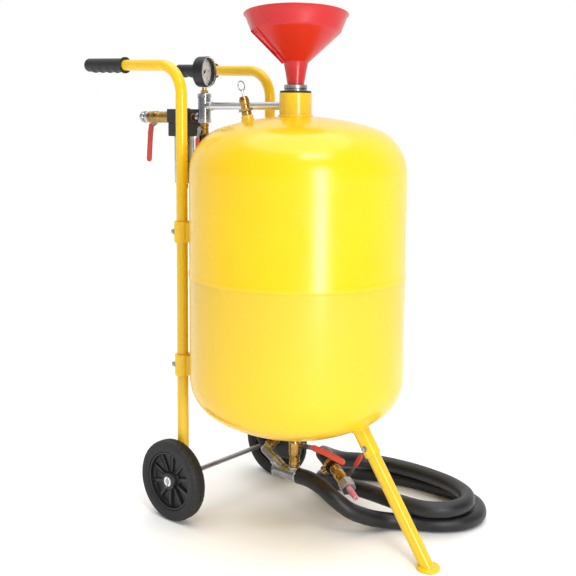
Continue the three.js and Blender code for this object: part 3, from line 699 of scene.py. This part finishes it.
def dial_marks():
    """Ticks and plain numbers over three quarters of a turn, clockwise."""
    ticks = Shape()
    for k in range(51):
        spoke = spun(GAUGE, math.radians(135 - 270 * k / 50))
        inner, wide = tick_size(k)
        ticks.box((inner, 25.6), (-wide, wide), (-0.9, -0.75), spoke)
    ticks.ring(25.8, 0.14, GAUGE, 96, height=-0.85)
    ticks.make("dial_ticks", INK)
    for k in range(6):
        spot = spun(GAUGE, math.radians(135 - 54 * k)) @ Vector((17.2, 0, -0.8))
        text = bpy.data.curves.new(f"dial_number_{k}", "FONT")
        text.body = str(2 * k)
        text.size = 5.2 * MM
        text.extrude = 0.08 * MM
        text.align_x = "CENTER"
        text.align_y = "CENTER"
        text.materials.append(INK)
        ob = bpy.data.objects.new(f"dial_number_{k}", text)
        upright = Matrix((DIAL_NORMAL.cross(Z) * -1, Z, DIAL_NORMAL)).transposed().to_4x4()
        upright.translation = at(spot)
        ob.matrix_world = upright
        bpy.context.collection.objects.link(ob)
        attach(ob, "chassis")


def gauge():
    case = Shape().turned(
        [(0, -12), (28.5, -12), (30.6, -11), (31.2, -9), (31.2, 7), (31.5, 8), (31.5, 10.6), (30.8, 12),
         (29.2, 12), (28.5, 11.2), (28.5, -2), (0, -2)], GAUGE, 72)
    case.make("case_shell", BLACK, replaces=["gauge_case"])
    bezel = Shape().turned([(28.45, 9.2), (30.4, 12.2), (29.6, 12.5), (28.6, 11.6), (28.45, 9.2)], GAUGE, 72)
    bezel.make("gauge_bezel", CHROME)
    Shape().rod(28.1, -1.7, -0.9, GAUGE, 72).make("dial_face", WHITE, replaces=["gauge_dial"])
    lens = Shape().turned([(0, 7), (28.2, 7), (28.2, 8.6), (0, 9)], GAUGE, 72)
    lens.make("lens", CLEAR, replaces=["gauge_lens"])
    dial_marks()
    arm = spun(GAUGE, math.radians(135))
    pointer = Shape().slab([(-7, -1.1), (-7, 1.1), (0, 0.8), (21, 0.15), (21, -0.15), (0, -0.8)], 0, 0.7, arm)
    pointer.turned([(0, -6), (1, -6), (1, -0.4), (3, -0.4), (3, 0.6), (2, 1.2), (0, 1.3)], GAUGE)
    pointer.make("pointer", INK, "gauge_pointer", ["gauge_needle"])


def filter_unit():
    bowl = place((0, FILTER_Y, 0))
    head = Shape().box((-26, 26), (290, 342), (781.5, 810)).box((-24, 24), (292, 340), (753, 781.5))
    head.make("head_block", BLACK, replaces=["filter_head"], bevel=1.4)
    trim = Shape().turned([(0, 810), (13, 810), (13, 811.2), (11, 812), (0, 812)], bowl)
    trim.make("head_cap", BLACK)
    slots = Shape()
    for angle in around(6):
        slots.box((16, 26), (-4, 4), (707, 747), spun(bowl, angle))
    guard = Shape().turned(
        [(19.8, 655), (20.4, 654.4), (21, 655), (21, 757), (21, 759.7), (19.8, 759.7), (19.8, 655)], bowl, 64)
    guard.make("guard", ZINC, replaces=["bowl_guard"], cut=slots)
    cup = Shape().turned(
        [(4.2, 652), (12, 652), (17, 653), (19.2, 657), (19.4, 660), (19.4, 759.7), (17.4, 759.7),
         (17.4, 660), (16, 656.4), (12, 655), (4.2, 655), (4.2, 652)], bowl, 64)
    cup.make("bowl", CLEAR, replaces=["filter_bowl"])
    element = Shape().turned([(8, 700), (12, 700), (12, 759.7), (8, 759.7), (8, 700)], bowl, 72,
                             lambda a, r, h: r * (1 + 0.05 * math.cos(18 * a)) if r > 10 else r)
    element.make("element", WHITE, replaces=["filter_element"])
    drain = Shape().turned(
        [(0, 640), (3.4, 640), (4, 641), (4, 643), (6.8, 643), (7.5, 643.8), (7.5, 651), (6.8, 651.7),
         (4, 651.7), (4, 660), (0, 660)], bowl, 60,
        lambda a, r, h: r * (1 + 0.03 * math.cos(20 * a)) if r > 7 else r)
    drain.make("drain_knob", BLACK, "drain", ["drain_screw"])


# ---------------------------------------------------------------- ball valves
# What a valve's body and lever share: its boss, stem, stem top and lever width.
Valve = namedtuple("Valve", "boss stem top width")
INLET = Valve(boss=15, stem=2.8, top=20, width=13.8)
TANK_AIR = Valve(boss=12, stem=2, top=16.4, width=11)
METERING = Valve(boss=17.2, stem=2.8, top=22.2, width=12.5)
BYPASS = Valve(boss=14, stem=2.6, top=18.6, width=11)
NOZZLE = Valve(boss=16.8, stem=2.6, top=21.6, width=10.5)


def valve_frame(centre, stem, lever):
    return place(centre, stem, lever.cross(stem))


def lever(name, where, sleeve, valve, body, node):
    """A bent steel lever held on its stem by a nut, with a red dipped sleeve."""
    low = valve.boss + 0.3
    high = low + 2.6
    plate = Shape().slab(stroke([(0, 0), *sleeve[:2]], valve.width - 3), low, high, where)
    washer = valve.stem + 3
    plate.turned([(0, high), (washer, high), (washer, high + 0.6), (0, high + 0.6)], where)
    plate.slab(hexagon(valve.stem * 2 + 3), high + 0.6, valve.top, where)
    plate.make(name + "_plate", STEEL, body, bevel=0.3)
    grip = Shape().slab(stroke(sleeve, valve.width), low - 1.2, low + 4.2, where)
    grip.make(name + "_sleeve", SLEEVE, body, [node], bevel=1.8)


def valve_body(name, profile, along, where, valve, node):
    """A turned brass body with the boss that carries its stem."""
    body = Shape().turned(profile, along)
    top, stem = valve.boss, valve.stem
    body.turned([(0, 0), (stem + 2.6, 0), (stem + 2.6, top - 0.6), (stem + 2, top), (0, top)], where)
    body.make(name, BRASS, replaces=[node], bevel=0.35)


def inlet_valve():
    along = along_y(INLET_Z)
    where = valve_frame((0, 406, INLET_Z), X, -Z)
    profile = [(0, 352), (12, 352), (12.5, 352.6), (12.5, 366), (11.4, 367), (11.4, 373), (12.3, 374),
               (12.3, 378), (11.2, 379), (11.2, 386), (12.3, 387), (12.3, 391), (11.2, 392), (11.6, 396),
               (13, 399), (13, 412), (11.8, 415), (12.5, 417), (12.5, 424), (0, 424)]
    valve_body("inlet_body", profile, along, where, INLET, "inlet_valve_body")
    nipple = Shape().rod(8.6, 342.2, 352, along, 48).slab(hexagon(20), 344, 351, along)
    nipple.make("inlet_nipple", DARK_BRASS, bevel=0.3)
    bend = [(-34, 20), (-37, 34), (-42, 92)]
    lever("inlet_lever", where, bend, INLET, "inlet_handle", "inlet_valve_lever")
    coupling = Shape().turned(
        [(7.5, 424.3), (12, 424.3), (12.5, 425), (12.5, 431), (11, 432), (11, 436), (12.5, 437),
         (12.5, 445.4), (11.6, 446.4), (9.5, 447), (8, 446.6), (7.5, 446), (7.5, 424.3)], along, 60,
        lambda a, r, h: r * (1 + 0.02 * math.cos(24 * a)) if r > 12.2 else r)
    coupling.make("coupling", CHROME, replaces=["inlet_coupling"])


def tank_air_valve():
    upright = place((0, TEE_Y, 0))
    where = valve_frame((0, TEE_Y, 769), -X, -Z)
    profile = [(0, 757), (8.4, 757), (9.4, 758), (9.4, 763), (8.6, 764), (8.6, 774), (9.4, 775),
               (9.4, 779.8), (8.4, 780.7), (0, 780.7)]
    valve_body("air_valve_body", profile, upright, where, TANK_AIR, "tank_air_valve_body")
    lever("air_lever", where, [(6, 22), (6, 62)], TANK_AIR, "tank_air_handle", "tank_air_valve_lever")


def metering_valve():
    upright = place((0, METERING_Y, 0))
    where = valve_frame((0, METERING_Y, 147), X, -Y)
    profile = [(0, 110), (9, 110), (9, 113), (10.4, 113.6), (11, 114.4), (11, 121), (9.8, 122), (9.8, 124),
               (10.8, 124.6), (10.8, 126.6), (9.8, 127.2), (9.8, 131), (11.4, 134), (11.6, 136),
               (11.6, 158), (11.4, 160), (9.8, 163), (9.8, 165), (11, 165.8), (11, 172), (9, 173), (9, 179.8),
               (0, 179.8)]
    valve_body("metering_body", profile, upright, where, METERING, "metering_valve_body")
    bend = [(2, 34), (0, 62), (-8, 104)]
    lever("metering_lever", where, bend, METERING, "metering_handle", "metering_valve_lever")


# ---------------------------------------------------------------- mixing tee and by-pass
BRANCH_AXIS = Vector((0, 0.862, 0.508)).normalized()
BRANCH_FOOT = Vector((0, 40, 101.3))
CORNER = Vector((0, 81, 125.5))
BYPASS_AXIS = Vector((0.92, 0, 0.392)).normalized()


def mixing_tee():
    along = along_y(TEE_Z)
    branch = place(BRANCH_FOOT, BRANCH_AXIS)
    body = Shape().turned(
        [(0, -8), (13.8, -8), (15, -7), (15, -3.4), (14.2, -2.4), (13.4, -1.6), (13.4, 46), (14, 47),
         (14, 53), (13, 54), (0, 54)], along)
    body.turned([(0, -26), (7.6, -26), (8.8, -22), (8.8, -7), (0, -7)], along)
    body.turned([(0, TEE_Z), (11.4, TEE_Z), (11.4, 105), (12, 106), (12, 109), (11.4, 109.7), (0, 109.7)],
                place((0, METERING_Y, 0)))
    body.turned([(0, -4), (10.4, -4), (10.4, 8), (11, 9), (11, 13.4), (10.4, 14), (0, 14)], branch)
    body.make("tee_casting", ZINC, replaces=["mixing_tee"])


def bypass():
    run, turn = place(CORNER, BRANCH_AXIS), place(CORNER, BYPASS_AXIS)
    start = (BRANCH_FOOT + BRANCH_AXIS * 14.6 - CORNER).dot(BRANCH_AXIS)
    elbow = Shape().turned(
        [(0, start), (10, start), (10.5, start + 0.5), (10.5, start + 4.4), (10, start + 5),
         (8.6, start + 5.6), (8.6, -4), (9, -3), (9, 0), (8, 4), (6, 7), (0, 9)], run)
    elbow.turned([(0, 0), (9, 0), (9, 10.4), (8.4, 11), (0, 11)], turn)
    elbow.make("bypass_elbow", ZINC, replaces=["bypass_fitting"])

    where = valve_frame(CORNER + BYPASS_AXIS * 23, BYPASS_AXIS.cross(Y), Y)
    profile = [(0, 11.3), (10, 11.3), (11, 12.3), (11, 17), (10, 18), (10, 29), (11, 30), (11, 34),
               (9.5, 35), (9.5, 40), (0, 40)]
    valve_body("bypass_body", profile, turn, where, BYPASS, "bypass_valve_body")
    lever("bypass_lever", where, [(0, 14), (0, 48)], BYPASS, "bypass_handle", "bypass_valve_lever")
    line = Shape().tube(smooth_path(BYPASS_ROUTE, 6), BYPASS_R)
    line.make("bypass_line", HOSE, replaces=["bypass_hose"])


# ---------------------------------------------------------------- blast hose and nozzle
NOZZLE_AXIS = Vector((-0.433, -0.866, -0.25)).normalized()
NOZZLE_FOOT = Vector((65.8, -43.3, 100.2))


def nozzle():
    along = place(NOZZLE_FOOT, NOZZLE_AXIS)
    arm = Vector((0.3, -0.4, 0.866))
    arm = (arm - NOZZLE_AXIS * arm.dot(NOZZLE_AXIS)).normalized()
    where = valve_frame(NOZZLE_FOOT + NOZZLE_AXIS * 31, arm.cross(NOZZLE_AXIS), arm)
    profile = [(0, 0.4), (10.8, 0.4), (11.5, 1), (11.5, 10), (10.2, 11), (10.2, 13), (11.4, 14), (11.4, 16),
               (10.2, 17), (10.2, 20), (11.5, 23), (11.5, 38), (10.2, 41), (10.2, 43), (11.5, 44),
               (11.5, 51), (10.8, 52), (0, 52)]
    valve_body("nozzle_body", profile, along, where, NOZZLE, "nozzle_valve_body")
    lever("nozzle_lever", where, [(0, 34), (0, 52)], NOZZLE, "nozzle_handle", "nozzle_valve_lever")
    nut = Shape().slab(hexagon(27.7), 52.4, 72.9, along)
    nut.make("nozzle_collar", ZINC, replaces=["nozzle_nut"], bevel=1.2, cut=Shape().rod(6.3, 66, 80, along))
    tip = Shape().turned(
        [(3, 67), (6, 67), (6, 88), (5.8, 92), (5.4, 101), (5, 103.6), (4.2, 104), (3.4, 103.8), (3, 103),
         (3, 67)], along)
    tip.make("nozzle_tip", PINK, replaces=["ceramic_nozzle"])
    hose_clip(along)
    names = ("nozzle_body", "nozzle_lever_plate", "nozzle_lever_sleeve", "nozzle_collar", "nozzle_tip",
             "hose_clip", "nozzle_valve_ball")
    return [bpy.data.objects[name] for name in names]


def hose_clip(along):
    """A band round the hose's end, closed by two lugs and a screw with its nut."""
    clip = Shape().turned([(HOSE_R, -12), (16.4, -12), (16.4, -3), (HOSE_R, -3), (HOSE_R, -12)], along)
    lug = spun(along, math.radians(-150))
    clip.box((15.5, 24), (-4, -2.4), (-12, -3), lug)
    clip.box((15.5, 24), (2.4, 4), (-12, -3), lug)
    screw = lug @ place((20, 0, -7.5), Y)
    clip.rod(2.2, -8, 8, screw, 20)
    clip.slab(hexagon(7), 4, 7.6, screw)
    clip.rod(1.6, 8, 13, screw, 16)
    clip.make("hose_clip", BRASS, bevel=0.2)


def blast_hose():
    path = smooth_path(BLAST_ROUTE, 8)
    data = bpy.data.curves.new("hose", "CURVE")
    data.dimensions = "3D"
    data.bevel_depth = HOSE_R * MM
    data.bevel_resolution = 10
    data.use_fill_caps = True
    spline = data.splines.new("POLY")
    spline.points.add(len(path) - 1)
    for point, p in zip(spline.points, path):
        point.co = (*at(p), 1)
    spline.use_smooth = True
    data.materials.append(HOSE)
    ob = bpy.data.objects.new("hose", data)
    bpy.context.collection.objects.link(ob)
    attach(ob, "chassis")
    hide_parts("blast_hose")
    length = sum((b - a).length for a, b in zip(path, path[1:])) * MM
    at(BLAST_ROUTE[0])
    nozzle()


# ---------------------------------------------------------------- chassis
SIDES = [("left", -1), ("right", 1)]


def handle_path(x):
    points = [Vector((x, UPRIGHT_Y, 60)), Vector((x, UPRIGHT_Y, 400)), Vector((x, UPRIGHT_Y, BEND_Z))]
    sweep = math.pi / 2 - HANDLE_RISE
    for i in range(1, 15):
        a = sweep * i / 14
        points.append(Vector((x, UPRIGHT_Y + BEND_R * (1 - math.cos(a)), BEND_Z + BEND_R * math.sin(a))))
    run = (GRIP_START_Y + GRIP_LENGTH - 3 - points[-1].y) / math.cos(HANDLE_RISE)
    points.append(points[-1] + Vector((0, math.cos(HANDLE_RISE), math.sin(HANDLE_RISE))) * run)
    return points


def grip_radius(angle, radius, height):
    """Four finger swells along the underside of the grip."""
    under = max(0.0, math.cos(angle)) ** 2
    if radius < 13 or not 14 < height < 108:
        return radius
    return radius + 2.2 * under * (0.5 - 0.5 * math.cos((height - 14) / 94 * 8 * math.pi))


def grip(word, path):
    along = (path[-1] - path[-2]).normalized()
    where = place(path[-1] + along * (3 - GRIP_LENGTH), along, -Z)
    ridges = [(13.8, 4 + 110 * k / 56) for k in range(57)]
    profile = [(0, GRIP_LENGTH), (11.6, GRIP_LENGTH), (13.2, GRIP_LENGTH - 0.8), (13.8, GRIP_LENGTH - 2.6),
               *ridges[::-1], (16, 3.2), (16.5, 2.6), (16.5, 0.6), (16, 0), (11.2, 0), (11.2, 10), (0, 10)]
    cover = Shape().turned(profile, where, 48, grip_radius)
    cover.make(f"grip_{word}_cover", RUBBER, replaces=[f"grip_{word}"])


def clamp(word, level, side, z0, z1):
    centre = Vector((side * UPRIGHT_X, UPRIGHT_Y, 0))
    outward = centre.normalized()
    radial = place((0, 0, 0), Z, outward)
    reach = centre.length
    body = Shape().turned(
        [(11.05, z0), (15, z0), (15.5, z0 + 0.5), (15.5, z1 - 0.5), (15, z1), (11.05, z1), (11.05, z0)],
        place(centre))
    body.box((TANK_R + 0.2, reach - 10), (-13, 13), (z0 + 2, z1 - 2), radial)
    body.make(f"clamp_{level}_{word}", YELLOW, replaces=[f"frame_clamp_{level}_{word}"], bevel=0.8)
    middle = (z0 + z1) / 2
    screws = Shape()
    face = place(centre + Vector((0, 0, middle)) + outward * 15.2, outward)
    bolt(screws, face, 9, 5.4, 6.6)
    screws.make(f"clamp_bolt_{level}_{word}", ZINC, bevel=0.3)


def chassis():
    for word, side in SIDES:
        path = handle_path(side * UPRIGHT_X)
        tube = Shape().tube(path, TUBE_R, 40, bore=TUBE_R - 1.8)
        tube.make(f"tube_{word}", YELLOW, replaces=[f"frame_tube_{word}"])
        grip(word, path)
        clamp(word, "upper", side, 551, 593)
        clamp(word, "lower", side, 287, 330)


# ---------------------------------------------------------------- wheels
def tyre_radius(angle, radius, height):
    """Shallow cross grooves in the tread."""
    if radius < 77:
        return radius
    groove = math.cos(angle * 44) > 0.72
    return radius - (0.9 if groove and abs(height) > 4.5 else 0)


def wheel(word, side):
    body = f"wheel_{word}"
    hub = place((side * WHEEL_X, UPRIGHT_Y, AXLE_Z), Vector((side, 0, 0)))
    profile = [(58.3, -12), (59, -13), (63, -14.4), (70, -15), (75.5, -14.4), (78, -12), (79.4, -9),
               (WHEEL_R, -5), (WHEEL_R, -1.2), (79.2, -0.9), (79.2, 0.9), (WHEEL_R, 1.2), (WHEEL_R, 5),
               (79.4, 9), (78, 12), (75.5, 14.4), (70, 15), (63, 14.4), (59, 13), (58.3, 12), (58.3, -12)]
    Shape().turned(profile, hub, 220, tyre_radius).make(f"tyre_{word}_tread", TYRE, body, [f"tyre_{word}"])

    disc = Shape().turned(
        [(5.1, -13), (13, -13), (14, -12), (14, -5), (20, -3), (52, -3), (54, -5), (54, -11.4), (55, -12),
         (57.2, -12), (58, -11), (58, 11), (57, 12), (54.6, 12), (53.6, 11), (53, 3.6), (50, 1.6),
         (20, 1.6), (18, 4), (17, 12), (15.6, 14), (5.1, 14), (5.1, -13)], hub, 96)
    for angle in around(10):
        spoke = spun(hub, angle + 0.3)
        disc.slab([(15, -3.2), (53.6, -6.4), (53.8, 0), (53.6, 0.8), (15, 0.8)], 1.2, 5.4, spoke)
        disc.box((15, 53.6), (0.4, 1.8), (1.2, 7.2), spoke)
    disc.make(f"disc_{word}", BLACK, body, [f"wheel_disc_{word}"], bevel=0.7)

    cap = Shape().turned([(5.2, 14.1), (9.5, 14.1), (9.5, 15), (5.2, 15), (5.2, 14.1)], hub)
    cap.make(f"hub_washer_{word}", ZINC, body)
    bend = [hub @ Vector(p) for p in ((0, -9, 15.6), (0, 7, 15.6), (0.6, 10, 15.8), (3, 12, 15.9))]
    Shape().tube(smooth_path(bend, 5), 0.75, 10).make(f"cotter_{word}", STEEL)


def axle():
    rod = Shape().turned([(0, -171), (4.2, -171), (5, -170), (5, 170), (4.2, 171), (0, 171)],
                         place((0, UPRIGHT_Y, AXLE_Z), X))
    rod.make("axle_rod", STEEL, replaces=["axle"])


def leg():
    where = place(LEG_FOOT, LEG_AXIS)
    tube = Shape().turned([(10.5, -25), (LEG_R, -25), (LEG_R, 249), (10.5, 249), (10.5, -25)], where)
    ground = Shape().box((-60, 60), (-400, -200), (-60, 6.1))
    tube.make("leg_pipe", YELLOW, replaces=["leg_tube"], cut=ground)
    socket = Shape().turned(
        [(12.8, SOCKET_LOW), (15, SOCKET_LOW), (SOCKET_R, SOCKET_LOW + 0.6), (SOCKET_R, SOCKET_HIGH),
         (12.8, SOCKET_HIGH), (12.8, SOCKET_LOW)], where)
    inside_pot = Shape().turned(
        [(0, 600), (TANK_R + 0.2, 600), (TANK_R + 0.2, LOWER_TANGENT_Z), *lower_arc(0.2)[::-1]], segments=128)
    socket.make("leg_sleeve", YELLOW, replaces=["leg_socket"], cut=inside_pot)
    across = Shape()
    cross = LEG_FOOT + LEG_AXIS * 222
    bolt(across, place(cross - X * (SOCKET_R + 0.1), -X), 8, 5, 6)
    bolt(across, place(cross + X * (SOCKET_R + 0.1), X), 8, 5, 6, 30)
    across.make("leg_bolt", ZINC, bevel=0.3)
    pad = Shape().turned(
        [(0, 0), (19.4, 0), (21, 1.2), (21, 4.4), (20, 5.6), (16, 6), (0, 6)], place((0, FOOT_Y, 0)), 64)
    pad.make("foot", YELLOW, replaces=["foot_pad"])


def inner_parts():
    """The valves' balls keep their CAD solids and get a chrome finish."""
    for name in ("inlet_valve_ball", "bypass_valve_ball", "metering_valve_ball", "nozzle_valve_ball"):
        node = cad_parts[name]
        node.data.materials.clear()
        node.data.materials.append(CHROME)


camera()
studio()
blast_hose()
pot()
pot_welds()
filler()
funnel()
safety_valve()
manifold()
gauge()
filter_unit()
inlet_valve()
tank_air_valve()
metering_valve()
mixing_tee()
bypass()
chassis()
for word, side in SIDES:
    wheel(word, side)
axle()
leg()
inner_parts()
